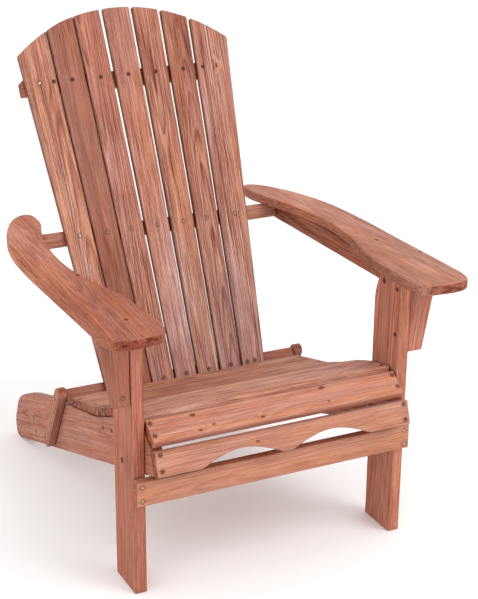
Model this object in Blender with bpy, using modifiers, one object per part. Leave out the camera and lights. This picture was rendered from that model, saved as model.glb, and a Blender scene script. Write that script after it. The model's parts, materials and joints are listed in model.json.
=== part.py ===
"""Folding adirondack chair in stained softwood boards.

Units are metres, +Z is up and the sitter faces -Y.  Every board is its own
object.  The chair folds on five pairs of pivots, all with axes along X:
leg to side rail, leg to arm rail, arm rail to back, back to link and link to
side rail.
"""
import math

import bmesh
import bpy
from mathutils import Matrix, Vector

# ---------------------------------------------------------------- dimensions
GAP = 0.0003                 # clearance between touching pieces
BOARD = 0.018                # thickness of seat boards, rails and cleats
EDGE = 0.0015                # eased board edges
Y0 = -0.3233                 # front face of the front legs

LEG_IN, LEG_OUT = 0.2570, 0.2805
LEG_DEPTH = 0.0885
LEG_TOP_ROUND = 0.1127       # radius of the rounded rear top corner
ARM_UNDER, ARM_TOP = 0.5220, 0.5420
ARM_OUT = 0.3550

FRONT_RAIL_Z = (0.1874, 0.2357)
FRONT_RAIL_HALF = 0.2808

BRACKET_Y = (0.0030, 0.0210)
BRACKET_FOOT_Z = 0.3765
BRACKET_FOOT_X, BRACKET_HEAD_X = 0.3125, 0.3385

RAIL_IN, RAIL_OUT = 0.2810, 0.2990      # arm rails, outside the legs
RAIL_DEPTH = 0.0350
RAIL_REAR_Y = 0.5680

SIDE_IN, SIDE_OUT = 0.2345, 0.2567      # side rails, inside the legs
SIDE_SLOPE = 0.336                      # fall of the lower edge per metre
SIDE_LOW_Z = 0.2393                     # lower edge level at the leg front
SLAT_HALF = 0.2535                      # seat boards, half length
APRON_HALF = 0.2566
APRON_TILT = math.radians(16.6)
APRON_HEIGHT = 0.0455
APRON_FOOT = (-0.0566, 0.2586)          # lower front edge (y, z)
SCALLOP_X = 0.0905                      # centre of each apron cut-out
SCALLOP_HALF = 0.0800
SCALLOP_RISE = 0.0225
SCALLOP_STEPS = 12

# top edges of the seat boards, rear then front, as (y, z)
SEAT = (((0.3760, 0.2340), (0.2400, 0.2695)),
        ((0.2350, 0.2725), (0.1885, 0.2913)),
        ((0.1840, 0.2935), (0.1390, 0.3140)),
        ((0.1345, 0.3160), (0.0880, 0.3325)),
        ((0.0835, 0.3345), (0.0195, 0.3465)))
NOSE = ((0.0058, 0.3430), (-0.0343, 0.3154))

RECLINE = math.radians(26.3)            # back from vertical
BACK_FOOT = (0.3852, 0.2323)            # front plane of the back at s = 0
BACK_THICK = 0.0125
SLAT_FOOT_S = -0.0120
ARCH_CENTRE, ARCH_R = 0.3863, 0.3860    # arched top edge
ARCH_FALL_X, ARCH_FALL = 0.1250, 0.082  # left of this x the arch falls away faster
CROWN_STEPS = 4              # straight pieces in each slat's share of the arch
TIP_ROUNDS = 8
# joints between slats: half spacing at s = 0 and growth per metre of s
FAN = ((0.0252, 0.0100), (0.0768, 0.0246), (0.1273, 0.0421))
FAN_EDGE_LEFT = (0.1750, 0.0753)
FAN_EDGE_RIGHT = (0.1800, 0.0840)
# open width of each joint, left to right: at s = 0 and growth per metre of s
JOINTS = ((0.0032, 0.0005), (0.0032, 0.0005), (0.0045, 0.0058),
          (0.0042, 0.0045), (0.0042, 0.0045), (0.0042, 0.0045))

TOP_CLEAT_S, TOP_CLEAT_HALF = (0.6100, 0.6440), 0.2292
MID_BAR_S = (0.2995, 0.3290)
FOOT_BAR_S = (-0.0095, 0.0165)
FOOT_BAR_THICK = 0.0200

LINK_IN, LINK_OUT = 0.2572, 0.2755
LINK_WIDTH = 0.0250

# pivots as (y, z)
LEG_PIVOT = (0.0500, 0.2515)
ARM_PIVOT = (0.0570, 0.5055)
BACK_PIVOT = (0.5460, 0.5040)
LINK_TOP = (0.4105, 0.2236)
LINK_FOOT = (0.4810, 0.1040)

SHANK_R, HEAD_R, HEAD_H = 0.0030, 0.0055, 0.0040
NUT_R, NUT_H = 0.0056, 0.0048
GRIP = 0.0300                # depth of the end bores in the crossbars
OVERRUN = 0.002              # how far a drill runs past the face it enters
SINK = HEAD_H + 3 * GAP      # depth of the round seat that a bolt head fills

# ------------------------------------------------------------------- set-up
for old in list(bpy.data.objects):
    bpy.data.objects.remove(old, do_unlink=True)

chair = bpy.data.collections.new("adirondack_chair")
cutters = bpy.data.collections.new("cutters")
for coll in (chair, cutters):
    bpy.context.scene.collection.children.link(coll)


def material(name, colour, rough, metal=0.0):
    mat = bpy.data.materials.new(name)
    mat.use_nodes = True
    shader = mat.node_tree.nodes["Principled BSDF"]
    shader.inputs["Base Color"].default_value = (*colour, 1.0)
    shader.inputs["Roughness"].default_value = rough
    shader.inputs["Metallic"].default_value = metal
    mat.diffuse_color = (*colour, 1.0)
    return mat


WOOD = {"frame": (0.42, 0.17, 0.10), "seat": (0.50, 0.22, 0.13),
        "back": (0.46, 0.21, 0.14), "arm": (0.48, 0.19, 0.12)}
STEEL = (0.25, 0.24, 0.23)


def at(y, z, x=0.0):
    """Chair point from a distance behind the leg fronts and a height."""
    return Vector((x, y + Y0, z))


# planes that flat outlines are drawn in: side view, front view and plan
SIDE_VIEW = Matrix(((0, 0, 1, 0), (1, 0, 0, Y0), (0, 1, 0, 0), (0, 0, 0, 1)))
FRONT_VIEW = Matrix(((1, 0, 0, 0), (0, 0, -1, Y0), (0, 1, 0, 0), (0, 0, 0, 1)))
PLAN_VIEW = Matrix.Translation((0, Y0, 0))
BACK_PLANE = Matrix(((1, 0, 0, 0),
                     (0, math.sin(RECLINE), -math.cos(RECLINE), BACK_FOOT[0] + Y0),
                     (0, math.cos(RECLINE), math.sin(RECLINE), BACK_FOOT[1]),
                     (0, 0, 0, 1)))


def place(obj, name, colour, group=chair):
    obj.name = name
    obj.data.name = name
    for coll in list(obj.users_collection):
        coll.objects.unlink(obj)
    group.objects.link(obj)
    if colour is not None:
        metal = colour == STEEL
        obj.data.materials.clear()
        obj.data.materials.append(material(name, colour, 0.4 if metal else 0.7, float(metal)))
    return obj


def ease(obj, width=EDGE, segments=1):
    bevel = obj.modifiers.new("eased_edges", 'BEVEL')
    bevel.width = width
    bevel.segments = segments
    bevel.limit_method = 'ANGLE'
    bevel.angle_limit = math.radians(30)
    return obj


def outline_board(name, splines, low, high, frame, colour, edge=EDGE, curve_steps=4):
    """Board cut to a closed flat outline.

    splines is a list of points (u, v, kind); kind "C" is a sharp corner and
    "S" a point on a smooth curve.  The board fills low..high along the
    normal of the frame's plane.
    """
    curve = bpy.data.curves.new(name + "_outline", 'CURVE')
    curve.dimensions = '2D'
    curve.fill_mode = 'BOTH'
    curve.resolution_u = curve_steps
    curve.render_resolution_u = curve_steps
    curve.extrude = (high - low) / 2
    spline = curve.splines.new('BEZIER')
    spline.bezier_points.add(len(splines) - 1)
    spline.use_cyclic_u = True
    for point, (u, v, kind) in zip(spline.bezier_points, splines):
        point.co = (u, v, 0)
        handle = 'VECTOR' if kind == "C" else 'AUTO'
        point.handle_left_type = handle
        point.handle_right_type = handle
    drawn = bpy.data.objects.new(name + "_outline", curve)
    chair.objects.link(drawn)
    bpy.context.view_layer.update()
    mesh = bpy.data.meshes.new_from_object(drawn.evaluated_get(bpy.context.evaluated_depsgraph_get()))
    bpy.data.objects.remove(drawn, do_unlink=True)
    tidy_outline(mesh)
    mesh.transform(frame @ Matrix.Translation((0, 0, (low + high) / 2)))
    obj = place(bpy.data.objects.new(name, mesh), name, colour)
    if edge:
        ease(obj, edge)
    return obj


def tidy_outline(mesh):
    """Join the caps to the sides and merge doubled or nearly flat corners."""
    work = bmesh.new()
    work.from_mesh(mesh)
    bmesh.ops.remove_doubles(work, verts=work.verts, dist=0.00005)
    bmesh.ops.dissolve_limit(work, angle_limit=math.radians(1.0),
                             verts=work.verts, edges=work.edges)
    bmesh.ops.recalc_face_normals(work, faces=work.faces)
    work.to_mesh(mesh)
    work.free()


def corners(*points):
    return [(u, v, "C") for u, v in points]


def arc(cu, cv, radius, start, end, count):
    """Corner points along a circular arc, angles in degrees."""
    out = []
    for i in range(count + 1):
        a = math.radians(start + (end - start) * i / count)
        out.append((cu + radius * math.cos(a), cv + radius * math.sin(a), "C"))
    return out


def bar(name, centre, size, tilt, colour):
    """Straight board along X; tilt turns its width about X from +Y to +Z."""
    bpy.ops.mesh.primitive_cube_add(size=1.0)
    obj = bpy.context.object
    obj.data.transform(Matrix.Diagonal((*size, 1.0)))
    obj.data.transform(Matrix.Translation(centre) @ Matrix.Rotation(tilt, 4, 'X'))
    return ease(place(obj, name, colour))


def top_board(name, rear, front, half, colour):
    """Seat board given by the two long edges of its upper face."""
    rear, front = at(*rear), at(*front)
    run = front - rear
    width = math.hypot(run.y, run.z)
    tilt = math.atan2(-run.z, -run.y)
    normal = Vector((0, -math.sin(tilt), math.cos(tilt)))
    centre = (rear + front) / 2 - normal * (BOARD / 2)
    return bar(name, centre, (2 * half, width, BOARD), tilt, colour)


def turned(name, profile, end, direction, colour, group=chair, steps=20):
    """Round piece spun from (radius, distance) points, starting at end."""
    mesh = bpy.data.meshes.new(name)
    mesh.from_pydata([(r, 0, h) for r, h in reversed(profile)],
                     [(i, i + 1) for i in range(len(profile) - 1)], [])
    obj = place(bpy.data.objects.new(name, mesh), name, colour, group)
    spin = obj.modifiers.new("turned", 'SCREW')
    spin.axis = 'Z'
    spin.steps = steps
    spin.render_steps = steps
    spin.use_merge_vertices = True
    spin.merge_threshold = 0.00002
    spin.use_smooth_shade = True
    quarter = Matrix.Rotation(math.radians(90 if direction > 0 else -90), 4, 'Y')
    obj.matrix_world = Matrix.Translation(end) @ quarter
    return obj


def drill(obj, pivot, side, start, end, radius, name):
    """Bore along X between two distances from the centre plane."""
    low, high = sorted((side * start, side * end))
    cutter = turned(name, [(0, 0), (radius, 0), (radius, high - low), (0, high - low)],
                    at(*pivot, low), 1, None, cutters)
    cutter.hide_render = True
    cutter.hide_viewport = True
    cutter.display_type = 'WIRE'
    cut = obj.modifiers.new(name, 'BOOLEAN')
    cut.operation = 'DIFFERENCE'
    cut.solver = 'EXACT'
    cut.object = cutter
    return obj


def side_low(y):
    return SIDE_LOW_Z - SIDE_SLOPE * y


def under(board, index):
    """Lower corner of a seat board below one of its upper edges."""
    (ry, rz), (fy, fz) = board
    length = math.hypot(fy - ry, fz - rz)
    ny, nz = (fz - rz) / length, (ry - fy) / length
    y, z = board[index]
    drop = BOARD + GAP
    return (y - ny * drop, z - nz * drop)


# --------------------------------------------------------------- side rails
apron_up = Vector((math.sin(APRON_TILT), math.cos(APRON_TILT)))
apron_out = Vector((-math.cos(APRON_TILT), math.sin(APRON_TILT)))
rail_end = Vector(APRON_FOOT) - apron_out * (BOARD + GAP)


def along_rail_end(z):
    return (rail_end.x + (z - rail_end.y) * math.tan(APRON_TILT), z)


seat_line = []
for board in SEAT:
    seat_line += [under(board, 0), under(board, 1)]
nose_rear, nose_front = under(NOSE, 0), under(NOSE, 1)
side_outline = corners(
    along_rail_end(0.2535), (0.7123, 0.0), (0.7300, 0.0)) + [
    (0.7375, 0.0100, "C"), (0.7400, 0.0240, "C"), (0.7385, 0.0400, "C"),
    (0.7200, 0.0800, "C"), (0.7070, 0.0975, "C"), (0.6900, 0.1105, "C"),
    (0.6690, 0.1220, "C")] + corners(
    (0.6205, 0.1413), (0.4846, 0.1846), (0.3945, 0.2098), *seat_line,
    nose_rear, (nose_front[0], nose_front[1] - GAP))

sides = {}
for tag, side in (("left", -1), ("right", 1)):
    low, high = sorted((side * SIDE_IN, side * SIDE_OUT))
    rail = outline_board(f"side_rail_{tag}", side_outline, low, high, SIDE_VIEW, WOOD["frame"])
    drill(rail, LEG_PIVOT, side, SIDE_IN - OVERRUN, SIDE_OUT + OVERRUN, SHANK_R + GAP,
          f"side_rail_{tag}_leg_bore")
    drill(rail, LINK_FOOT, side, SIDE_IN - OVERRUN, SIDE_OUT + OVERRUN, SHANK_R + GAP,
          f"side_rail_{tag}_link_bore")
    sides[tag] = side

bar("rear_cross_rail", at(0.6086, 0.0755), (2 * (SIDE_IN - GAP), 0.0490, BOARD),
    math.radians(71.4), WOOD["frame"])
bar("seat_cross_rail", at(0.1800, 0.2480), (2 * (SIDE_IN - GAP), 0.0700, BOARD),
    -math.radians(18.6), WOOD["frame"])

# --------------------------------------------------------------------- seat
for number, board in enumerate(SEAT, 1):
    top_board(f"seat_slat_{number}", *board, SLAT_HALF, WOOD["seat"])
top_board("seat_nose_slat", *NOSE, SLAT_HALF, WOOD["seat"])

scallops = []
for centre in (-SCALLOP_X, SCALLOP_X):
    for step in range(SCALLOP_STEPS + 1):
        t = -1 + 2 * step / SCALLOP_STEPS
        lift = SCALLOP_RISE * (0.5 + 0.5 * math.cos(math.pi * t)) ** 0.5
        scallops.append((centre + SCALLOP_HALF * t, lift, "C"))
apron_plane = Matrix(((1, 0, 0, 0),
                      (0, apron_up.x, apron_out.x, APRON_FOOT[0] + Y0),
                      (0, apron_up.y, apron_out.y, APRON_FOOT[1]),
                      (0, 0, 0, 1)))
outline_board("seat_apron",
              corners((-APRON_HALF, 0)) + scallops +
              corners((APRON_HALF, 0), (APRON_HALF, APRON_HEIGHT), (-APRON_HALF, APRON_HEIGHT)),
              -BOARD, 0.0, apron_plane, WOOD["seat"], 0.0010)

# --------------------------------------------------------------- front legs
leg_top = ARM_UNDER - GAP
round_z = leg_top - 0.0667
sweep = math.degrees(math.asin((leg_top - round_z) / LEG_TOP_ROUND))
leg_outline = corners((0, 0), (LEG_DEPTH, 0)) + arc(
    LEG_DEPTH - LEG_TOP_ROUND, round_z, LEG_TOP_ROUND, 0, sweep, 6) + corners((0, leg_top))
bracket_outline = ((LEG_OUT + GAP, BRACKET_FOOT_Z), (BRACKET_FOOT_X, BRACKET_FOOT_Z),
                   (BRACKET_HEAD_X, leg_top), (LEG_OUT + GAP, leg_top))
for tag, side in sides.items():
    low, high = sorted((side * LEG_IN, side * LEG_OUT))
    leg = outline_board(f"front_leg_{tag}", leg_outline, low, high, SIDE_VIEW, WOOD["frame"])
    drill(leg, LEG_PIVOT, side, LEG_IN - OVERRUN, LEG_OUT + OVERRUN, SHANK_R + GAP,
          f"front_leg_{tag}_bore")
    drill(leg, LEG_PIVOT, side, LEG_OUT - SINK, LEG_OUT + OVERRUN, HEAD_R + GAP,
          f"front_leg_{tag}_head_bore")
    drill(leg, ARM_PIVOT, side, LEG_IN - OVERRUN, LEG_OUT + OVERRUN, SHANK_R + GAP,
          f"front_leg_{tag}_arm_bore")
    drill(leg, ARM_PIVOT, side, LEG_IN - OVERRUN, LEG_IN + SINK, HEAD_R + GAP,
          f"front_leg_{tag}_arm_head_bore")
    outline_board(f"arm_bracket_{tag}", corners(*[(side * x, z) for x, z in bracket_outline]),
                  -BRACKET_Y[1], -BRACKET_Y[0], FRONT_VIEW, WOOD["frame"])

rail_mid = sum(FRONT_RAIL_Z) / 2
bar("front_rail", at(-GAP - BOARD / 2, rail_mid),
    (2 * FRONT_RAIL_HALF, BOARD, FRONT_RAIL_Z[1] - FRONT_RAIL_Z[0]), 0.0, WOOD["frame"])

# --------------------------------------------------------------------- arms
arm_outline = [
    (ARM_OUT, 0.3300, "S"), (ARM_OUT, 0.1500, "S"), (ARM_OUT, -0.0200, "S"),
    (0.3530, -0.0610, "S"), (0.3440, -0.0830, "S"), (0.3210, -0.0925, "S"), (0.2850, -0.0915, "S"),
    (0.2560, -0.0845, "S"), (0.2450, -0.0670, "S"), (0.2420, -0.0350, "S"), (0.2425, 0.0350, "S"),
    (0.2490, 0.1050, "S"), (0.2640, 0.1700, "S"), (0.2780, 0.2350, "S"), (0.2838, 0.3200, "S"),
    (0.2765, 0.4130, "S"), (0.2625, 0.4842, "S"), (0.2490, 0.5303, "S"), (0.2400, 0.5590, "S"),
    (0.2376, 0.5880, "S"), (0.2386, 0.6105, "C"), (0.2460, 0.6212, "S"), (0.2586, 0.6226, "S"),
    (0.2727, 0.6145, "S"), (0.2883, 0.5975, "S"), (0.3114, 0.5534, "S"), (0.3296, 0.5053, "S"),
    (0.3465, 0.4338, "S")]
rail_z = ARM_UNDER - GAP - RAIL_DEPTH
rail_outline = corners((RAIL_REAR_Y, rail_z), (RAIL_REAR_Y, ARM_UNDER - GAP),
                       (ARM_PIVOT[0], ARM_UNDER - GAP)) + arc(
    ARM_PIVOT[0], ARM_UNDER - GAP - RAIL_DEPTH / 2, RAIL_DEPTH / 2, 105, 255, 10) + corners(
    (ARM_PIVOT[0], rail_z))
for tag, side in sides.items():
    ease(outline_board(f"arm_{tag}", [(side * x, y, kind) for x, y, kind in arm_outline],
                       ARM_UNDER, ARM_TOP, PLAN_VIEW, WOOD["arm"], None, 6), 0.0038, 3)
    low, high = sorted((side * RAIL_IN, side * RAIL_OUT))
    rail = outline_board(f"arm_rail_{tag}", rail_outline, low, high, SIDE_VIEW, WOOD["arm"])
    drill(rail, BACK_PIVOT, side, RAIL_IN - OVERRUN, RAIL_OUT + OVERRUN, SHANK_R + GAP,
          f"arm_rail_{tag}_back_bore")
    drill(rail, BACK_PIVOT, side, RAIL_OUT - SINK, RAIL_OUT + OVERRUN, HEAD_R + GAP,
          f"arm_rail_{tag}_head_bore")
    drill(rail, ARM_PIVOT, side, RAIL_IN - OVERRUN, RAIL_OUT + OVERRUN, SHANK_R + GAP,
          f"arm_rail_{tag}_leg_bore")

# --------------------------------------------------------------------- back


def joint_x(fan, s):
    return fan[0] + fan[1] * s


def arch(x):
    round_top = ARCH_CENTRE + math.sqrt(ARCH_R ** 2 - x ** 2)
    return round_top - ARCH_FALL * max(0.0, -x - ARCH_FALL_X)


def slat_edge(number, s, inner):
    """Signed x of a slat joint edge; joints are numbered 0..7 from the left."""
    if number in (0, 7):
        fan = FAN_EDGE_LEFT if number == 0 else FAN_EDGE_RIGHT
        return math.copysign(joint_x(fan, s), number - 3.5)
    fan = FAN[int(abs(number - 3.5))]
    half_joint = joint_x(JOINTS[number - 1], s) / 2
    return math.copysign(joint_x(fan, s), number - 3.5) + inner * half_joint


def slat_tip(number, inner):
    """Point where a slat edge meets the arched top, closed in on step by step."""
    s = ARCH_CENTRE + ARCH_R
    for _ in range(TIP_ROUNDS):
        s = arch(slat_edge(number, s, inner))
    return slat_edge(number, s, inner), s


for number in range(1, 8):
    left_tip, right_tip = slat_tip(number - 1, 1), slat_tip(number, -1)
    foot = [(slat_edge(number - 1, SLAT_FOOT_S, 1), SLAT_FOOT_S),
            (slat_edge(number, SLAT_FOOT_S, -1), SLAT_FOOT_S)]
    crown = []
    for step in range(CROWN_STEPS + 1):
        x = right_tip[0] + (left_tip[0] - right_tip[0]) * step / CROWN_STEPS
        crown.append((x, arch(x)))
    outline_board(f"back_slat_{number}", corners(*foot, *crown), -BACK_THICK, 0.0,
                  BACK_PLANE, WOOD["back"])


def back_bar(name, s_range, thick, half, chamfer=0.0):
    """Crosswise board on the rear of the slats, top corners cut if asked."""
    low, high = s_range
    points = [(-half, low), (half, low), (half, high - chamfer)]
    if chamfer:
        points += [(half - 1.3 * chamfer, high), (-half + 1.3 * chamfer, high)]
    points += [(-half, high - chamfer)]
    rear = BACK_THICK + GAP
    return outline_board(name, corners(*points), -rear - thick, -rear, BACK_PLANE, WOOD["back"])


back_bar("top_cleat", TOP_CLEAT_S, BOARD, TOP_CLEAT_HALF, 0.0065)
mid_bar = back_bar("mid_crossbar", MID_BAR_S, BOARD, RAIL_IN - GAP)
foot_bar = back_bar("foot_bar", FOOT_BAR_S, FOOT_BAR_THICK, LINK_IN - GAP)
for tag, side in sides.items():
    drill(mid_bar, BACK_PIVOT, side, RAIL_IN - GRIP, RAIL_IN + OVERRUN, SHANK_R + GAP,
          f"mid_crossbar_{tag}_bore")
    drill(foot_bar, LINK_TOP, side, LINK_IN - GRIP, LINK_IN + OVERRUN, SHANK_R + GAP,
          f"foot_bar_{tag}_bore")

# -------------------------------------------------------------------- links
link_run = Vector(LINK_TOP) - Vector(LINK_FOOT)
link_len = link_run.length
link_up = link_run.normalized()
link_side = Vector((link_up.y, -link_up.x))


def on_link(across, along):
    point = Vector(LINK_FOOT) + link_side * across + link_up * along
    return (point.x, point.y)


half_w = LINK_WIDTH / 2
crown_at = link_len + 0.0105
link_outline = corners(on_link(half_w, -0.018), on_link(half_w, crown_at)) + corners(
    *[on_link(half_w * math.cos(math.radians(a)), crown_at + half_w * math.sin(math.radians(a)))
      for a in range(20, 161, 20)]) + corners(on_link(-half_w, crown_at), on_link(-half_w, -0.018))
for tag, side in sides.items():
    low, high = sorted((side * LINK_IN, side * LINK_OUT))
    link = outline_board(f"back_link_{tag}", link_outline, low, high, SIDE_VIEW, WOOD["frame"])
    for pivot, where in ((LINK_TOP, "top"), (LINK_FOOT, "foot")):
        drill(link, pivot, side, LINK_IN - OVERRUN, LINK_OUT + OVERRUN, SHANK_R + GAP,
              f"back_link_{tag}_{where}_bore")
        drill(link, pivot, side, LINK_OUT - SINK, LINK_OUT + OVERRUN, HEAD_R + GAP,
              f"back_link_{tag}_{where}_head_bore")

# -------------------------------------------------------------- pivot bolts


def bolt(name, pivot, side, head_face, inward, length):
    """Pivot bolt, head flush in a board face; inward is its way along x."""
    profile = [(0, 0), (HEAD_R, 0), (HEAD_R, HEAD_H), (SHANK_R, HEAD_H),
               (SHANK_R, length), (0, length)]
    turned(name, profile, at(*pivot, side * head_face), side * inward, STEEL)


def nut(name, pivot, side, face):
    """Barrel nut on the end of a bolt, open through its middle."""
    bore = SHANK_R + GAP
    profile = [(bore, 0), (NUT_R, 0), (NUT_R, NUT_H), (bore, NUT_H), (bore, 0)]
    turned(name, profile, at(*pivot, side * face), -side, STEEL)


for tag, side in sides.items():
    nut_face = SIDE_IN - GAP
    bolt(f"leg_pivot_bolt_{tag}", LEG_PIVOT, side, LEG_OUT - GAP, -1,
         LEG_OUT - SIDE_IN + NUT_H)
    nut(f"leg_pivot_nut_{tag}", LEG_PIVOT, side, nut_face)
    bolt(f"link_foot_bolt_{tag}", LINK_FOOT, side, LINK_OUT - GAP, -1,
         LINK_OUT - SIDE_IN + NUT_H)
    nut(f"link_foot_nut_{tag}", LINK_FOOT, side, nut_face)
    bolt(f"link_top_bolt_{tag}", LINK_TOP, side, LINK_OUT - GAP, -1,
         LINK_OUT - LINK_IN + GRIP - OVERRUN)
    bolt(f"back_pivot_bolt_{tag}", BACK_PIVOT, side, RAIL_OUT - GAP, -1,
         RAIL_OUT - RAIL_IN + GRIP - OVERRUN)
    bolt(f"arm_pivot_bolt_{tag}", ARM_PIVOT, side, LEG_IN + GAP, 1,
         LEG_OUT - LEG_IN - 3 * GAP)

# ------------------------------------------------------------ turning parts
# one empty on each hinge line carries the pieces that turn about it


def carry(pivot_name, pivot, pieces):
    hinge = bpy.data.objects.new(pivot_name, None)
    hinge.empty_display_size = 0.05
    hinge.location = at(*pivot)
    chair.objects.link(hinge)
    bpy.context.view_layer.update()
    for piece in chair.objects:
        if piece.type == 'MESH' and piece.name.startswith(pieces):
            piece.parent = hinge
            piece.matrix_parent_inverse = hinge.matrix_world.inverted()


carry("leg_axis", LEG_PIVOT, ("front_leg_", "front_rail", "arm_bracket_", "arm_pivot_bolt_"))
carry("link_axis", LINK_FOOT, ("back_link_",))
carry("back_axis", LINK_TOP, ("back_slat_", "top_cleat", "mid_crossbar", "foot_bar",
                              "back_pivot_bolt_", "link_top_bolt_"))
carry("arm_axis", BACK_PIVOT, ("arm_left", "arm_right", "arm_rail_"))
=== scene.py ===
"""Look of the folding adirondack chair: stained boards, screws, floor, light and camera."""
import json
import math

import bmesh
import bpy
import numpy as np
from mathutils import Matrix, Vector

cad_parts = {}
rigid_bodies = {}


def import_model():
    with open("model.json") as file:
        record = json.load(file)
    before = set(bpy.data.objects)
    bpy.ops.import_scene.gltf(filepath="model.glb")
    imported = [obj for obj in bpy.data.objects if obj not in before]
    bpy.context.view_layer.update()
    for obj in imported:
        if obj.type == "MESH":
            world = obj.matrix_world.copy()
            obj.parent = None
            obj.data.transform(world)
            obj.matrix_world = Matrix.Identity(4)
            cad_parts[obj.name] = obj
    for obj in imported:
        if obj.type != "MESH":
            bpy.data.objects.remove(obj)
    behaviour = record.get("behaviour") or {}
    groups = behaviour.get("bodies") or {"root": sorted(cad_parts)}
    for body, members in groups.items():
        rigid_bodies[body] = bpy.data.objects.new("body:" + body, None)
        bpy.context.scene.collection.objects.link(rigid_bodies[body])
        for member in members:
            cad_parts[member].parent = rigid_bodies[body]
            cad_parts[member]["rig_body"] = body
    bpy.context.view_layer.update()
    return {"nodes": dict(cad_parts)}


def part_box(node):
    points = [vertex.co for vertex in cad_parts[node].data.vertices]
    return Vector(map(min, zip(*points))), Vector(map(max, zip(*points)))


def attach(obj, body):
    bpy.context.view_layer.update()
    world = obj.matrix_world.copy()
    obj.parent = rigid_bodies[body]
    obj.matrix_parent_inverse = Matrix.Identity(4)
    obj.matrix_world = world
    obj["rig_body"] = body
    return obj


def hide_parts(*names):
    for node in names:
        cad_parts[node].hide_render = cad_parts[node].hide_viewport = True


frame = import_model()
nodes = frame["nodes"]


def lowest(name, axis):
    """Lower side of a piece's box along x, y or z."""
    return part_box(name)[0]["xyz".index(axis)]


def highest(name, axis):
    """Upper side of a piece's box along x, y or z."""
    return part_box(name)[1]["xyz".index(axis)]


# The chair's own planes, in metres, as the model sets them out
Y0 = -0.3233                     # front face of the front legs
RECLINE = math.radians(26.3)     # back boards from vertical
BACK_FOOT = (0.3852, 0.2323)     # front face of the back at s = 0 (y behind Y0, z)
APRON_TILT = math.radians(16.6)
APRON_FOOT = (-0.0566, 0.2586)   # front face of the apron at s = 0 (y behind Y0, z)
EDGE_ROUND = 0.0015              # how far the round of a board's edge reaches into its face

# ------------------------------------------------------------ node helpers


class Tree:
    """Short calls for building one material's node tree."""

    def __init__(self, name):
        self.mat = bpy.data.materials.new(name)
        self.mat.use_nodes = True
        self.tree = self.mat.node_tree
        self.shader = self.tree.nodes["Principled BSDF"]

    def node(self, kind, **settings):
        made = self.tree.nodes.new("ShaderNode" + kind)
        for key, value in settings.items():
            setattr(made, key, value)
        return made

    def feed(self, socket, value):
        if isinstance(value, bpy.types.NodeSocket):
            self.tree.links.new(value, socket)
        else:
            socket.default_value = value

    def math(self, op, *values, clamp=False):
        made = self.node("Math", operation=op, use_clamp=clamp)
        for socket, value in zip(made.inputs, values):
            self.feed(socket, value)
        return made.outputs[0]

    def centred(self, value, amount):
        """A 0..1 value as -amount / 2 .. amount / 2."""
        return self.math('MULTIPLY', self.math('SUBTRACT', value, 0.5), amount)

    def hypot(self, a, b):
        return self.math('SQRT', self.math('ADD', self.math('MULTIPLY', a, a), self.math('MULTIPLY', b, b)))

    def vector(self, op, *values, out=0):
        made = self.node("VectorMath", operation=op)
        for socket, value in zip(made.inputs, values):
            self.feed(socket, value)
        return made.outputs[out]

    def combine(self, x, y, z):
        made = self.node("CombineXYZ")
        for socket, value in zip(made.inputs, (x, y, z)):
            self.feed(socket, value)
        return made.outputs[0]

    def noise(self, at, detail=2.0, rough=0.55, scale=1.0, out="Fac"):
        made = self.node("TexNoise")
        self.feed(made.inputs["Vector"], at)
        self.feed(made.inputs["Scale"], scale)
        self.feed(made.inputs["Detail"], detail)
        self.feed(made.inputs["Roughness"], rough)
        return made.outputs[out]

    def span(self, value, low, high, to_low=0.0, to_high=1.0, smooth=True):
        made = self.node("MapRange", interpolation_type='SMOOTHSTEP' if smooth else 'LINEAR')
        for socket, item in zip(made.inputs, (value, low, high, to_low, to_high)):
            self.feed(socket, item)
        return made.outputs[0]

    def ramp(self, value, stops):
        made = self.node("ValToRGB")
        elements = made.color_ramp.elements
        while len(elements) < len(stops):
            elements.new(0.5)
        for element, (place, colour) in zip(elements, stops):
            element.position = place
            element.color = (*colour, 1.0)
        self.feed(made.inputs[0], value)
        return made.outputs[0]

    def mix(self, amount, a, b, blend='MIX'):
        made = self.node("Mix", data_type='RGBA', blend_type=blend)
        for index, value in ((0, amount), (6, a), (7, b)):
            if isinstance(value, tuple) and len(value) == 3:
                value = (*value, 1.0)
            self.feed(made.inputs[index], value)
        return made.outputs[2]

    def tint(self, colour, by, amount=None):
        """The colour multiplied by a tint, wholly or as far as amount says."""
        tinted = self.mix(1.0, colour, by, 'MULTIPLY')
        return tinted if amount is None else self.mix(amount, colour, tinted)

    def bump(self, height, strength, distance):
        made = self.node("Bump")
        made.inputs["Strength"].default_value = strength
        made.inputs["Distance"].default_value = distance
        self.feed(made.inputs["Height"], height)
        self.feed(self.shader.inputs["Normal"], made.outputs[0])


def scatter(number, salt):
    """Repeatable value in 0..1 for a whole number, another one for each salt."""
    return math.fmod(number * 0.6180339887 + salt * 0.7548776662 + 0.31, 1.0)


# -------------------------------------------------------------------- wood
WOOD_STOPS = ((0.00, (0.600, 0.330, 0.225)), (0.30, (0.460, 0.205, 0.136)),
              (0.50, (0.368, 0.147, 0.095)), (0.75, (0.235, 0.078, 0.048)),
              (1.00, (0.100, 0.028, 0.016)))
LATEWOOD = ((0.00, 0.10), (0.45, 0.22), (0.80, 0.95), (0.90, 1.00), (1.00, 0.10))
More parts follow.
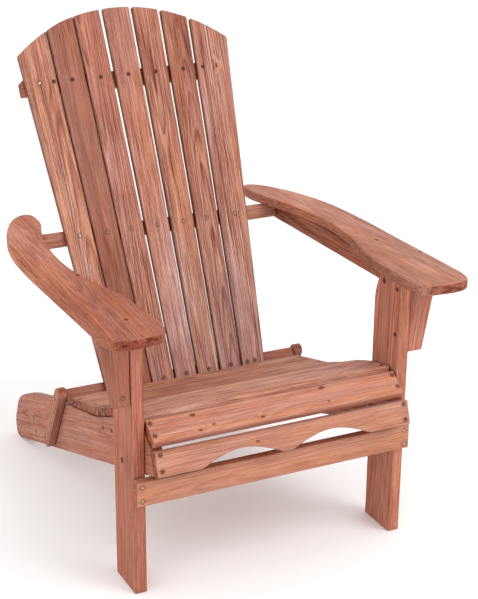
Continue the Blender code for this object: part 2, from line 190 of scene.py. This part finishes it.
# layers of streaks: scale along and across the grain per metre, shift, detail, roughness, strength
STREAKS = {"broad": (1.6, 75.0, 11.0, 3.0, 0.62, 0.50),
           "streak": (5.0, 400.0, 23.0, 3.0, 0.70, 1.10),
           "thread": (18.0, 700.0, 27.0, 2.0, 0.60, 0.95),
           "fibre": (90.0, 1300.0, 31.0, 2.0, 0.60, 0.60),
           "patch": (4.0, 12.0, 41.0, 2.0, 0.50, 0.44),
           "blotch": (14.0, 40.0, 43.0, 2.0, 0.50, 0.34)}
MIDDLE_SHADE, RING_SHADE = 0.47, 0.26
PALE = (0.700, 0.450, 0.350)                 # streaks rubbed off the raised fibres
# paler patches on corners: wear, and a painted highlight on the rounded edges
WORN_AND_HIGHLIT_CORNER = (0.500, 0.260, 0.175)
WARM, COOL = (1.04, 0.96, 0.84), (0.97, 1.01, 1.08)
END_PALE, END_DARK = (0.84, 0.64, 0.54), (0.36, 0.20, 0.16)
# the first tint is painted shade on the narrow side faces; the second darkens along the bevelled corners
SIDE_SHADE_TINT, CORNER_TINT = (0.42, 0.22, 0.16), (0.42, 0.32, 0.28)
# painted shade where ambient occlusion finds near surfaces: its tint and how far it looks
CREVICE_SHADE_TINT, CREVICE_SHADE_REACH = (0.42, 0.17, 0.11), 0.008
KNOT_HEART, KNOT_HALO = (0.125, 0.033, 0.018), (0.480, 0.190, 0.085)
KNOT_SQUASH = 0.55                           # knots are longer than wide, as 1 to this
# colour of the painted shade in and round the recesses of sunk screw heads
RECESS_SHADE = (0.085, 0.028, 0.018)
SUNK_R, RECESS_SHADE_R, BLUR = 0.0041, 0.0091, 0.0004     # painted shade in and round a sunk screw head
WOOD_GLOSS, WOOD_RELIEF = 0.14, 0.00035
VIEWPORT_WOOD = (0.37, 0.17, 0.12, 1.0)


def board_frame(obj):
    """Centre, length, width and thickness directions of a board, from its faces."""
    spread = np.zeros((3, 3))
    for face in obj.data.polygons:
        n = np.array(face.normal)
        spread += face.area * np.outer(n, n)
    _, axes = np.linalg.eigh(spread)
    directions = []
    for column in range(3):
        axis = Vector(axes[:, column])
        biggest = max(axis, key=abs)
        directions.append(axis if biggest > 0 else -axis)
    corners = [Vector(c) for c in obj.bound_box]
    centre = sum(corners, Vector()) / 8
    return centre, directions[0], directions[1], directions[2]


class Wood(Tree):
    """Stained softwood of one board, whose growth rings run along it."""

    def __init__(self, name, obj, number):
        super().__init__(name)
        self.number = number
        self.seed = 7.3 * number
        self.centre, *self.ways = board_frame(obj)
        self.place = self.node("TexCoord")
        local = self.vector('SUBTRACT', self.place.outputs["Object"], self.centre)
        self.u, self.v, self.w = (self.vector('DOT_PRODUCT', local, way, out=1) for way in self.ways)
        # the grain wanders slowly, and trembles a little on a finer scale
        self.sway = self.node("SeparateXYZ")
        self.feed(self.sway.inputs[0], self.layer(2.4, 7.0, 3.0, rough=0.5, out="Color"))
        tremble = self.layer(28.0, 60.0, 5.0, rough=0.5)
        self.v = self.math('ADD', self.v, self.centred(tremble, 0.0016))

    def layer(self, along, across, shift, detail=2.0, rough=0.55, out="Fac"):
        """Noise drawn out along the grain, its scales per metre, shifted for each board and layer."""
        drawn = self.vector('MULTIPLY', self.combine(self.u, self.v, self.w),
                            Vector((along, across, across)))
        moved = self.vector('ADD', drawn, Vector((self.seed + shift, self.seed * 0.7 - shift, shift)))
        return self.noise(moved, detail, rough, out=out)

    def set_knots(self, knots):
        """Each knot has a dark heart, a halo, and a swelling that the rings flow round."""
        self.swelling, self.heart, self.halo = 0.0, 0.0, 0.0
        along, across, _ = self.ways
        for point, radius in knots:
            to = point - self.centre
            du = self.math('MULTIPLY', self.math('SUBTRACT', self.u, to.dot(along)), KNOT_SQUASH)
            dv = self.math('SUBTRACT', self.v, to.dot(across))
            reach = self.hypot(du, dv)
            swelling = self.span(reach, 0.0, radius * 3.6, 0.9, 0.0)
            heart = self.span(reach, radius * 0.45, radius, 1.0, 0.0)
            halo = self.span(reach, radius * 0.8, radius * 2.4, 1.0, 0.0)
            self.swelling = self.math('ADD', self.swelling, swelling)
            self.heart = self.math('MAXIMUM', self.heart, heart)
            self.halo = self.math('MAXIMUM', self.halo, halo)

    def growth_rings(self, flat_sawn):
        """Latewood lines round a pith line that runs beside or below the board."""
        if flat_sawn is None:
            flat_sawn = scatter(self.number, 1) < 0.45
        side = (scatter(self.number, 2) - 0.5) * (0.03 if flat_sawn else 0.16)
        depth = 0.020 + 0.03 * scatter(self.number, 3) if flat_sawn else 0.045
        lean = (scatter(self.number, 4) - 0.5) * 0.06
        spacing = 0.0017 + 0.0012 * scatter(self.number, 5)
        rv = self.math('ADD', self.math('ADD', self.v, side), self.centred(self.sway.outputs[0], 0.018))
        rw = self.math('ADD', self.math('ADD', self.w, depth), self.math('MULTIPLY', self.u, lean))
        rw = self.math('ADD', rw, self.centred(self.sway.outputs[1], 0.014))
        turns = self.math('ADD', self.math('DIVIDE', self.hypot(rv, rw), spacing), self.swelling)
        return self.ramp(self.math('FRACT', turns), [(at, (grey,) * 3) for at, grey in LATEWOOD])

    def depth_of_stain(self, late, contrast, rings):
        """From light 0 to dark 1, by the rings and the layers of streaks."""
        strength = self.span(self.layer(1.6, 22.0, 13.0, 1.0), 0.35, 0.68, 0.35, 1.3)
        ringed = self.math('MULTIPLY', self.centred(late, RING_SHADE * contrast * rings), strength)
        shade = self.math('ADD', MIDDLE_SHADE, ringed)
        self.layers = {}
        for kind, (along, across, shift, detail, rough, amount) in STREAKS.items():
            self.layers[kind] = self.layer(along, across, shift, detail, rough)
            shade = self.math('ADD', shade, self.centred(self.layers[kind], amount * contrast))
        return shade

    def stained(self, shade, pale, tone, fade):
        """Colour of the broad faces."""
        colour = self.ramp(self.math('MAXIMUM', 0.0, shade, clamp=True), WOOD_STOPS)
        # light streaks where the stain has rubbed off raised fibres
        rubbed = self.span(self.layer(3.4, 420.0, 61.0, rough=0.5), 0.58, 0.72)
        where = self.span(self.layer(3.0, 16.0, 67.0, 1.0), 0.46, 0.62)
        amount = self.math('MULTIPLY', self.math('MULTIPLY', rubbed, where), pale)
        colour = self.mix(amount, colour, PALE)
        # stain takes unevenly: warmer and cooler streaks and patches
        take = self.math('ADD', self.layer(1.8, 130.0, 57.0, rough=0.5),
                         self.centred(self.layer(3.2, 14.0, 59.0, rough=0.5), 0.9))
        colour = self.tint(colour, self.mix(self.span(take, 0.33, 0.67), WARM, COOL))
        colour = self.tint(colour, tone)
        if fade:
            colour = self.tint(colour, self.mix(self.span(self.u, -0.30, 0.30), *fade))
        return colour

    def faces(self, way, low_cosine, high_cosine):
        """1 on the faces that look along a direction, 0 on the others."""
        along = self.vector('DOT_PRODUCT', self.place.outputs["Normal"], way, out=1)
        return self.span(self.math('ABSOLUTE', along), low_cosine, high_cosine)

    def end_grain_and_side_shade(self, colour, late, edge):
        """End grain soaks up more stain and shows its rings; narrow faces get painted shade."""
        along, across, _ = self.ways
        section = self.combine(self.seed, self.math('MULTIPLY', self.v, 75.0),
                               self.math('MULTIPLY', self.w, 120.0))
        dark = self.math('MAXIMUM', self.math('MULTIPLY', late, 0.7),
                         self.span(self.noise(section), 0.46, 0.60))
        colour = self.tint(colour, self.mix(dark, END_PALE, END_DARK), self.faces(along, 0.70, 0.92))
        # painted shade on the narrow side faces, where neighbouring boards shade each other
        if edge:
            amount = self.math('MULTIPLY', self.faces(across, 0.75, 0.97), edge)
            colour = self.tint(colour, SIDE_SHADE_TINT, amount)
        return colour

    def corners(self, colour, corner_r):
        """Darker along the edges and corners the bevel finds, and paler in patches there from wear and a
        painted highlight on the rounded edges.
        """
        rounded = self.node("Bevel", samples=4)
        rounded.inputs["Radius"].default_value = corner_r
        flat_normal = self.node("NewGeometry").outputs["Normal"]
        turned = self.vector('DOT_PRODUCT', rounded.outputs[0], flat_normal, out=1)
        corner = self.span(turned, 0.995, 0.90)
        colour = self.tint(colour, CORNER_TINT, self.math('MULTIPLY', corner, 0.55))
        # paler patches on the rounded corners: wear, and a painted highlight
        worn_and_highlit = self.math('MULTIPLY', corner, self.span(self.layer(30.0, 60.0, 71.0), 0.45, 0.66))
        return self.mix(self.math('MULTIPLY', worn_and_highlit, 0.45), colour, WORN_AND_HIGHLIT_CORNER)

    def painted_crevice_shade(self, colour):
        """Painted shade, darker where ambient occlusion finds other surfaces near, as in the joints between
        boards.
        """
        occlusion = self.node("AmbientOcclusion", samples=6)
        occlusion.inputs["Distance"].default_value = CREVICE_SHADE_REACH
        return self.tint(colour, CREVICE_SHADE_TINT, self.span(occlusion.outputs["AO"], 0.20, 0.70, 0.85, 0.0))

    def knotted(self, colour):
        colour = self.mix(self.math('MULTIPLY', self.halo, 0.32), colour, KNOT_HALO)
        return self.mix(self.math('MULTIPLY', self.heart, 0.85), colour, KNOT_HEART)

    def screw_recess_shade(self, colour, holes):
        """Painted shade in the ring round each sunk screw head; gives the colour and the ring."""
        reach = 1.0
        for point in holes:
            distance = self.vector('DISTANCE', self.place.outputs["Object"], point, out=1)
            reach = self.math('MINIMUM', reach, distance)
        sunk = self.span(reach, SUNK_R + BLUR, SUNK_R - BLUR)
        around = self.span(reach, RECESS_SHADE_R, SUNK_R)
        colour = self.mix(self.math('MULTIPLY', around, 0.22), colour, RECESS_SHADE)
        return self.mix(self.math('MULTIPLY', sunk, 0.85), colour, RECESS_SHADE), sunk

    def finish(self, colour, shade, late, sunk):
        """Feed the shader, with fine relief in the streaks, knots and screw holes."""
        self.feed(self.shader.inputs["Base Color"], colour)
        self.feed(self.shader.inputs["Roughness"], self.span(shade, 0.1, 0.9, 0.54, 0.72))
        self.shader.inputs["Specular IOR Level"].default_value = WOOD_GLOSS
        lines = self.math('ADD', self.layers["streak"], self.layers["thread"])
        relief = self.math('ADD', self.math('MULTIPLY', late, 0.5), lines)
        relief = self.math('ADD', relief, self.math('MULTIPLY', self.layers["fibre"], 0.7))
        relief = self.math('SUBTRACT', relief, self.math('ADD', self.heart, sunk))
        self.bump(relief, 0.60, WOOD_RELIEF)
        self.mat.diffuse_color = VIEWPORT_WOOD


def wood(name, obj, number, tone=(1, 1, 1), contrast=1.0, rings=1.0, pale=0.5, edge=0.0,
         flat_sawn=None, fade=None, corner_r=0.0022, knots=(), holes=()):
    """Material of one board.

    tone tints the board, contrast scales every streak, rings the growth rings
    and pale the rubbed light streaks; edge is how much painted shade darkens the
    narrow faces.  fade is a tint at each end of the board, low end first, and
    corner_r is how far the darker corners and the paler patches of wear and
    painted highlight reach.  knots are (point, radius) and holes are points where
    a screw head sits, with painted shade in and round its recess.
    """
    board = Wood(name, obj, number)
    board.set_knots(knots)
    late = board.growth_rings(flat_sawn)
    shade = board.depth_of_stain(late, contrast, rings)
    colour = board.stained(shade, pale, tone, fade)
    # end grain, and painted shade on the narrow faces
    colour = board.end_grain_and_side_shade(colour, late, edge)
    # darker bevelled corners, then painted shade in the crevices between boards
    colour = board.painted_crevice_shade(board.corners(colour, corner_r))
    if knots:
        colour = board.knotted(colour)
    sunk = 0.0
    # painted shade in and round the screw recesses
    if holes:
        colour, sunk = board.screw_recess_shade(colour, holes)
    board.finish(colour, shade, late, sunk)
    return board.mat


# ------------------------------------------------------------------- metal
def steel(name, bright, dark, spots, metallic):
    """Screw metal, bright with dark grime; spots is how much of it the grime covers."""
    t = Tree(name)
    place = t.node("TexCoord").outputs["Object"]
    grime = t.span(t.noise(place, 3.0, 0.6, scale=420.0), 0.5 - spots, 0.62 - spots)
    t.feed(t.shader.inputs["Base Color"], t.mix(grime, bright, dark))
    t.feed(t.shader.inputs["Roughness"], t.span(grime, 0.0, 1.0, 0.34, 0.62))
    t.shader.inputs["Metallic"].default_value = metallic
    t.shader.inputs["Specular IOR Level"].default_value = 0.12 + 0.4 * metallic
    t.bump(t.noise(place, 2.0, 0.7, scale=2200.0), 0.35, 0.00008)
    return t.mat


ZINC = steel("zinc_worn", (0.68, 0.50, 0.38), (0.26, 0.130, 0.085), 0.00, 0.55)
STAINED = steel("zinc_stained", (0.300, 0.125, 0.080), (0.120, 0.043, 0.026), 0.04, 0.20)
MUTED = steel("zinc_rubbed", (0.420, 0.215, 0.150), (0.230, 0.100, 0.066), 0.00, 0.25)
DARK = steel("zinc_blackened", (0.080, 0.026, 0.018), (0.030, 0.010, 0.007), 0.04, 0.10)
# painted shade for the rims and cross recesses of the screw heads
RECESS_SHADE_METAL = steel("recess_painted_shade", (0.050, 0.018, 0.012), (0.022, 0.008, 0.005), 0.04, 0.05)

# -------------------------------------------------- shading and screw shapes
SMOOTH_UNDER = math.radians(38)  # faces are smooth except across sharper edges
by_angle = bpy.data.node_groups.new("shade_by_angle", 'GeometryNodeTree')
by_angle.interface.new_socket("Geometry", in_out='INPUT', socket_type='NodeSocketGeometry')
by_angle.interface.new_socket("Geometry", in_out='OUTPUT', socket_type='NodeSocketGeometry')
went_in = by_angle.nodes.new("NodeGroupInput")
went_out = by_angle.nodes.new("NodeGroupOutput")
faces = by_angle.nodes.new("GeometryNodeSetShadeSmooth")
edges = by_angle.nodes.new("GeometryNodeSetShadeSmooth")
edges.domain = 'EDGE'
edges.inputs["Shade Smooth"].default_value = False
angle = by_angle.nodes.new("GeometryNodeInputMeshEdgeAngle")
sharp = by_angle.nodes.new("FunctionNodeCompare")
sharp.inputs[1].default_value = SMOOTH_UNDER
by_angle.links.new(went_in.outputs[0], faces.inputs[0])
by_angle.links.new(faces.outputs[0], edges.inputs[0])
by_angle.links.new(angle.outputs[0], sharp.inputs[0])
by_angle.links.new(sharp.outputs[0], edges.inputs["Selection"])
by_angle.links.new(edges.outputs[0], went_out.inputs[0])


def shade_by_angle(obj):
    """Smooth shading, kept flat across sharp edges."""
    obj.modifiers.new("shaded", 'NODES').node_group = by_angle


def lathe(profile, steps=20):
    """Closed round solid about Z from (radius, height) points, axis to axis."""
    work = bmesh.new()
    rings = []
    for r, h in profile:
        if r == 0:
            rings.append([work.verts.new((0, 0, h))])
        else:
            rings.append([work.verts.new((r * math.cos(2 * math.pi * i / steps),
                                          r * math.sin(2 * math.pi * i / steps), h))
                          for i in range(steps)])
    for low, high in zip(rings, rings[1:]):
        for i in range(steps):
            j = (i + 1) % steps
            if len(low) == 1:
                work.faces.new((low[0], high[i], high[j]))
            elif len(high) == 1:
                work.faces.new((low[i], high[0], low[j]))
            else:
                work.faces.new((low[i], high[i], high[j], low[j]))
    bmesh.ops.recalc_face_normals(work, faces=work.faces)
    return work


def cross_cutter(reach, depth, width):
    """Tapered cross for a driver, its mouth at z = 0 and its point below."""
    work = bmesh.new()
    outline = []
    for quarter in range(4):
        turn = Matrix.Rotation(math.pi / 2 * quarter, 2)
        outline += [turn @ Vector(p) for p in ((width, -width), (reach, -width), (reach, width))]
    top = [work.verts.new((p.x, p.y, 0.001)) for p in outline]
    low = [work.verts.new((p.x * 0.55, p.y * 0.55, -depth)) for p in outline]
    work.faces.new(top)
    work.faces.new(reversed(low))
    for i in range(len(outline)):
        j = (i + 1) % len(outline)
        work.faces.new((top[i], low[i], low[j], top[j]))
    bmesh.ops.recalc_face_normals(work, faces=work.faces)
    return work


def screw_mesh(name, head_r, dome, head_h, shank_r, length):
    """Screw with a slightly domed head at z = 0..dome and its shank downwards.

    Material 0 is the face of the head; material 1, the rim and the recess, is painted shade.
    """
    profile = [(0, dome), (head_r * 0.5, dome * 0.90), (head_r * 0.80, dome * 0.62), (head_r, 0),
               (head_r * 0.98, -0.0004), (shank_r * 1.05, -head_h), (shank_r, -head_h - 0.001),
               (shank_r, -length + 0.003), (shank_r * 0.3, -length), (0, -length)]
    parts = []
    for label, work in (("solid", lathe(profile)),
                        ("cross", cross_cutter(head_r * 0.58, head_r * 0.55, head_r * 0.14))):
        mesh = bpy.data.meshes.new(name + "_" + label)
        work.transform(Matrix.Translation((0, 0, dome * 0.8 if label == "cross" else 0)))
        work.to_mesh(mesh)
        work.free()
        part = bpy.data.objects.new(name + "_" + label, mesh)
        bpy.context.scene.collection.objects.link(part)
        parts.append(part)
    solid, cross = parts
    cut = solid.modifiers.new("cross", 'BOOLEAN')
    cut.operation = 'DIFFERENCE'
    cut.solver = 'EXACT'
    cut.object = cross
    bpy.context.view_layer.update()
    result = bpy.data.meshes.new_from_object(
        solid.evaluated_get(bpy.context.evaluated_depsgraph_get()))
    for part in parts:
        bpy.data.objects.remove(part, do_unlink=True)
    result.name = name
    for face in result.polygons:
        outer = face.center.xy.length > head_r * 0.82
        face.material_index = 0 if face.normal.z > 0.8 and face.center.z > 0 and not outer else 1
    return result


def facing(point, normal, turn):
    """Matrix that stands a screw at a point with its head along normal."""
    upright = Vector(normal).to_track_quat('Z', 'Y').to_matrix().to_4x4()
    return Matrix.Translation(point) @ upright @ Matrix.Rotation(turn, 4, 'Z')


def screws(name, template, places, body, metal):
    """One piece holding a row of screws; places are (point, normal)."""
    work = bmesh.new()
    for index, (point, normal) in enumerate(places):
        copy = template.copy()
        copy.transform(facing(point, normal, 1.3 * index + 0.4))
        work.from_mesh(copy)
        bpy.data.meshes.remove(copy)
    mesh = bpy.data.meshes.new(name)
    work.to_mesh(mesh)
    work.free()
    mesh.materials.append(metal)
    # the rims and recesses get painted shade
    mesh.materials.append(RECESS_SHADE_METAL)
    obj = bpy.data.objects.new(name, mesh)
    bpy.context.scene.collection.objects.link(obj)
    shade_by_angle(obj)
    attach(obj, body)
    return obj


def at(x, y, z):
    """Point in the frame, y counted back from the front legs."""
    return Vector((x, y + Y0, z))


def back_place(x, s):
    """Point and outward direction on the front of the back boards."""
    point = at(x, BACK_FOOT[0] + s * math.sin(RECLINE), BACK_FOOT[1] + s * math.cos(RECLINE))
    return point, Vector((0, -math.cos(RECLINE), math.sin(RECLINE)))


def apron_place(x, s):
    """Point and outward direction on the front of the apron, s above its foot."""
    point = at(x, APRON_FOOT[0] + s * math.sin(APRON_TILT), APRON_FOOT[1] + s * math.cos(APRON_TILT))
    return point, Vector((0, -math.cos(APRON_TILT), math.sin(APRON_TILT)))


def seat_place(x, name, distance):
    """Point and normal on top of a seat board, distance in from its rear edge."""
    mesh = nodes[name].data
    top = max(mesh.polygons, key=lambda face: face.area * face.normal.z)
    corners = [Vector((0, *mesh.vertices[index].co.yz)) for index in top.vertices]
    rear = max(corners, key=lambda corner: corner.y)
    front = min(corners, key=lambda corner: corner.y)
    run = (front - rear).normalized()
    return rear + run * (distance - EDGE_ROUND) + Vector((x, 0, 0)), Vector((0, run.z, -run.y))


# ------------------------------------------------------------------ screws
HEAD_R, DOME, HEAD_H, SHANK_R, SCREW_LENGTH = 0.0036, 0.00025, 0.0022, 0.0016, 0.028
ENDS = (-1, 1)                   # the chair's left and right, as signs of x
FORWARD = Vector((0, -1, 0))
TOP_S, MIDDLE_S, FOOT_S = 0.631, 0.314, 0.003     # rows up the back
TOP_ROW = (-0.163, -0.123, -0.061, 0.0, 0.061, 0.124, 0.170)
MIDDLE_ROW = (-0.1105, -0.057, 0.0, 0.0586, 0.112, 0.178)
FOOT_ROW = (-0.158, -0.1405, -0.102, -0.0514, 0.0, 0.0514, 0.102, 0.1405, 0.158)
FRONT_END, SEAT_END, RAIL_END = 0.247, 0.2455, 0.270      # x of the screws at board ends
SEAT_PAIRS = {"seat_slat_1": (0.030, 0.110), "seat_slat_2": (0.012, 0.037),
              "seat_slat_3": (0.012, 0.037), "seat_slat_4": (0.012, 0.037),
              "seat_slat_5": (0.016, 0.049)}              # distances in from the rear edge
SIDE_SCREWS = ((0.2015, 0.2439), (0.1580, 0.2565), (0.6149, 0.0882), (0.6023, 0.0627))
SIDE_X = highest("side_rail_right", "x")                  # outer faces of the side rails
LEG_X = lowest("front_leg_right", "x")                    # inner faces of the front legs
RAIL_Y = lowest("front_rail", "y") - Y0                   # front face of the front rail
BRACKET_Y = lowest("arm_bracket_left", "y") - Y0          # front faces of the brackets
ARM_Z = highest("arm_left", "z")                          # tops of the arms

rows = {
    "screws_back_top": ([back_place(x, TOP_S) for x in TOP_ROW], "back", DARK),
    "screws_back_outer": ([back_place(-0.194, TOP_S), back_place(-0.170, MIDDLE_S)], "back", ZINC),
    "screws_back_middle": ([back_place(x, MIDDLE_S) for x in MIDDLE_ROW], "back", MUTED),
    "screws_back_foot": ([back_place(x, FOOT_S) for x in FOOT_ROW], "back", STAINED),
    "screws_apron": ([apron_place(e * FRONT_END, s) for e in ENDS for s in (0.0102, 0.0395)],
                     "seat", STAINED),
    "screws_nose": ([seat_place(e * FRONT_END, "seat_nose_slat", d) for e in ENDS
                     for d in (0.0087, 0.0340)], "seat", STAINED),
    "screws_seat": ([seat_place(e * SEAT_END, board, d) for e in ENDS
                     for board, pair in SEAT_PAIRS.items() for d in pair], "seat", DARK),
    "screws_cross_rails": ([(at(e * SIDE_X, y, z), Vector((e, 0, 0))) for e in ENDS
                            for y, z in SIDE_SCREWS], "seat", DARK),
    "screws_front_rail": ([(at(e * RAIL_END, RAIL_Y, z), FORWARD) for e in ENDS
                           for z in (0.1975, 0.2255)], "legs", ZINC),
    "screws_brackets": ([(at(e * LEG_X, 0.0120, z), Vector((-e, 0, 0))) for e in ENDS
                         for z in (0.4133, 0.5025)], "legs", DARK),
    "screws_bracket_foot": ([(at(-0.2955, BRACKET_Y, 0.3942), FORWARD)], "legs", MUTED),
}
small = screw_mesh("wood_screw", HEAD_R, DOME, HEAD_H, SHANK_R, SCREW_LENGTH)
for row, (places, body, metal) in rows.items():
    screws(row, small, places, body, metal)
bpy.data.meshes.remove(small)

# pivot bolts: a domed head with a cross in place of each plain one
BOLT_DOME, BOLT_HEAD_H, BOLT_SHANK_R = 0.0003, 0.0036, 0.0029
INSET = 0.0004                   # the detailed bolt stays this far inside the plain one
BOLT_METALS = {"arm": STAINED, "leg": DARK}
for name in sorted(n for n in nodes if "_bolt_" in n):
    least, most = (Vector(corner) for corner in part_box(name))
    centre = (least + most) / 2
    outward = 1 if centre.x > 0 else -1
    way = -outward if name.startswith("arm_pivot") else outward
    head_x = (most.x if way > 0 else least.x) - way * INSET
    shape = screw_mesh(name + "_shape", (most.z - least.z - INSET) / 2, BOLT_DOME, BOLT_HEAD_H,
                       BOLT_SHANK_R, most.x - least.x - INSET)
    point = Vector((head_x, centre.y, centre.z))
    piece = screws(name + "_detail", shape, [(point, Vector((way, 0, 0)))], nodes[name]["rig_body"],
                   BOLT_METALS.get(name.split("_")[0], ZINC))
    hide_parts(name)
    bpy.data.meshes.remove(shape)
for name in sorted(n for n in nodes if "_nut_" in n):
    nodes[name].material_slots[0].material = ZINC

# ------------------------------------------------------------------ boards
KNOTS = {
    "seat_nose_slat": [(seat_place(x, "seat_nose_slat", d)[0], r) for x, d, r in
                       ((-0.1653, 0.0082, 0.0046), (-0.1336, 0.0343, 0.0028),
                        (-0.1614, 0.0407, 0.0034), (-0.0385, 0.0395, 0.0034),
                        (0.0966, 0.0055, 0.0048), (0.0987, 0.0359, 0.0022))],
    "seat_apron": [(apron_place(-0.0592, 0.0285)[0], 0.0028)],
    "arm_left": [(at(-0.2831, 0.2356, ARM_Z), 0.0056), (at(-0.2891, -0.0051, ARM_Z), 0.0052)],
    "arm_right": [(at(0.3105, 0.1754, ARM_Z), 0.0048), (at(0.3472, 0.0785, ARM_Z), 0.0040)],
    "front_leg_left": [(at(-0.2805, 0.017, 0.1504), 0.0030)],
    "back_slat_7": [(back_place(0.2015, TOP_S)[0], 0.0040)],
}
# what each board's material says apart from wood()'s own values
FRONT_BOARD = {"contrast": 0.62, "rings": 0.7, "pale": 0.15}
# edge: painted shade on the narrow side faces between boards
SEAT_BOARD = {"contrast": 1.75, "rings": 1.0, "pale": 0.5, "edge": 0.4, "corner_r": 0.0060}
LOOKS = {
    "seat_nose_slat": {"tone": (1.28, 1.32, 1.34), **FRONT_BOARD},
    "seat_apron": {"tone": (1.13, 1.27, 1.38), **FRONT_BOARD},
    "front_rail": {"tone": (1.26, 1.33, 1.25), **FRONT_BOARD},
    "arm_left": {"tone": (0.98, 0.91, 0.88), "pale": 0.10, "rings": 0.6, "flat_sawn": True,
                 "fade": ((0.88, 0.76, 0.73), (1.26, 1.26, 1.26))},
    "arm_right": {"tone": (1.03, 1.05, 1.11), "pale": 0.30, "rings": 0.4, "edge": 0.35,
                  "fade": ((0.96, 0.98, 0.96), (1.12, 1.15, 1.14))},
    "arm_rail_left": {"tone": (0.94, 0.86, 0.84)},
    "arm_rail_right": {"tone": (0.76, 0.64, 0.60), "contrast": 1.4, "pale": 0.2},
    "front_leg_left": {"tone": (1.00, 0.82, 0.77), "contrast": 0.80, "pale": 0.1},
    "front_leg_right": {"tone": (1.12, 1.04, 1.02), "contrast": 0.9, "pale": 0.1},
    "arm_bracket_left": {"tone": (0.80, 0.74, 0.74), "contrast": 0.6, "pale": 0.1},
    "arm_bracket_right": {"tone": (1.00, 0.93, 0.92), "contrast": 0.8},
    "side_rail_left": {"tone": (0.96, 0.90, 0.94), "contrast": 0.9,
                       "fade": ((0.95, 0.92, 0.92), (1.05, 1.12, 1.15))},
    "side_rail_right": {"tone": (0.95, 0.92, 0.98)},
    "back_link_left": {"tone": (0.96, 0.94, 1.00), "edge": 0.3},
    "back_link_right": {"tone": (0.84, 0.80, 0.82), "edge": 0.3},
    "foot_bar": {"tone": (0.88, 0.80, 0.80)},
    "seat_slat_1": {"tone": (1.06, 1.04, 1.06), **SEAT_BOARD},
    "seat_slat_2": {"tone": (1.00, 0.96, 0.98), **SEAT_BOARD},
    "seat_slat_3": {"tone": (1.16, 1.14, 1.16), **SEAT_BOARD},
    "seat_slat_4": {"tone": (1.30, 1.42, 1.55), **SEAT_BOARD},
    "seat_slat_5": {"tone": (1.32, 1.50, 1.66), "contrast": 1.3, "pale": 0.5},
}
# edge: painted shade on the narrow side faces between boards
BACK_BOARD = {"edge": 0.65, "contrast": 1.25}
FADED_DOWN = ((1.16, 1.36, 1.56), (0.98, 0.91, 0.88))
for slat, tone, pale in ((1, (1.06, 1.12, 1.18), 0.60), (2, (0.79, 0.72, 0.73), 0.20),
                         (3, (0.92, 0.88, 0.94), 0.70), (4, (1.00, 1.02, 1.08), 0.50),
                         (5, (0.94, 0.92, 0.92), 0.90), (6, (0.84, 0.82, 0.86), 0.50),
                         (7, (0.98, 1.04, 1.14), 1.00)):
    LOOKS[f"back_slat_{slat}"] = {"tone": tone, "pale": pale, **BACK_BOARD,
                                  "fade": FADED_DOWN if slat > 2 else None}
LOOKS["back_slat_2"]["contrast"] = 0.85
LOOKS["back_slat_5"].update(flat_sawn=True, rings=1.3, fade=((1.06, 1.20, 1.30), (0.97, 0.87, 0.82)))

TOUCHING = 0.0010                # a screw this near to a board sits in it
SOFT_EDGE, SOFT_SLAT_EDGE = 0.0007, 0.0003
SAWN_ANGLE = math.radians(30)    # edges sharper than this are softened

boards = [n for n in sorted(nodes) if "_bolt_" not in n and "_nut_" not in n]
for number, name in enumerate(boards, 1):
    obj = nodes[name]
    holes = [point for places, _, _ in rows.values() for point, _ in places
             if (obj.closest_point_on_mesh(point)[1] - point).length < TOUCHING]
    mat = wood("wood_" + name, obj, number, knots=KNOTS.get(name, ()), holes=holes,
               **LOOKS.get(name, {}))
    for slot in obj.material_slots:
        slot.material = mat
    soft = obj.modifiers.new("rounded", 'BEVEL')
    soft.width = SOFT_SLAT_EDGE if name.startswith("back_slat") else SOFT_EDGE
    soft.segments = 2
    soft.limit_method = 'ANGLE'
    soft.angle_limit = SAWN_ANGLE
    shade_by_angle(obj)

# ------------------------------------------------------------------- stage
WHITE = (1.0, 1.0, 1.0, 1.0)
FLOOR_HALF = 14.0
floor_mesh = bpy.data.meshes.new("floor")
floor_mesh.from_pydata([(x * FLOOR_HALF, y * FLOOR_HALF, 0)
                        for x, y in ((-1, -1), (1, -1), (1, 1), (-1, 1))], [], [(0, 1, 2, 3)])
floor = bpy.data.objects.new("floor", floor_mesh)
bpy.context.scene.collection.objects.link(floor)
paint = Tree("pale_floor")
for socket, value in (("Base Color", (0.92, 0.92, 0.92, 1.0)), ("Roughness", 0.9),
                      ("Specular IOR Level", 0.1), ("Emission Color", WHITE),
                      ("Emission Strength", 0.10)):       # a table lit a little from below
    paint.shader.inputs[socket].default_value = value
floor_mesh.materials.append(paint.mat)

world = bpy.data.worlds.new("soft_studio")
world.use_nodes = True
world.node_tree.nodes["Background"].inputs["Color"].default_value = WHITE
world.node_tree.nodes["Background"].inputs["Strength"].default_value = 1.00
bpy.context.scene.world = world
LIT = (0, 0, 0.4)                # where the lamps point
LAMP_SIZE = 2.6


def softbox(name, where, power):
    """Round lamp that points at LIT."""
    light = bpy.data.lights.new(name, 'AREA')
    light.shape = 'DISK'
    light.size = LAMP_SIZE
    light.energy = power
    lamp = bpy.data.objects.new(name, light)
    lamp.location = where
    lamp.rotation_euler = (Vector(LIT) - Vector(where)).to_track_quat('-Z', 'Y').to_euler()
    bpy.context.scene.collection.objects.link(lamp)


softbox("key", (1.9, -2.6, 3.0), 60.0)
softbox("fill", (-2.8, -1.6, 2.0), 15.0)

# ------------------------------------------------------------------ camera
LOOKS_DOWN, LOOKS_RIGHT = 0.394726, 0.443093      # radians from level and from straight ahead
camera_data = bpy.data.cameras.new("camera")
camera = bpy.data.objects.new("camera", camera_data)
bpy.context.scene.collection.objects.link(camera)
camera.location = at(-1.16428, -2.16344, 1.45950)
camera.rotation_euler = (math.pi / 2 - LOOKS_DOWN, 0.0, -LOOKS_RIGHT)
camera_data.sensor_fit = 'HORIZONTAL'
camera_data.sensor_width = 36.0
camera_data.lens = 112.298
camera_data.shift_x = 0.06823
camera_data.shift_y = 0.10053
camera_data.clip_end = 60.0
bpy.context.scene.camera = camera
bpy.context.scene.view_settings.view_transform = 'Standard'
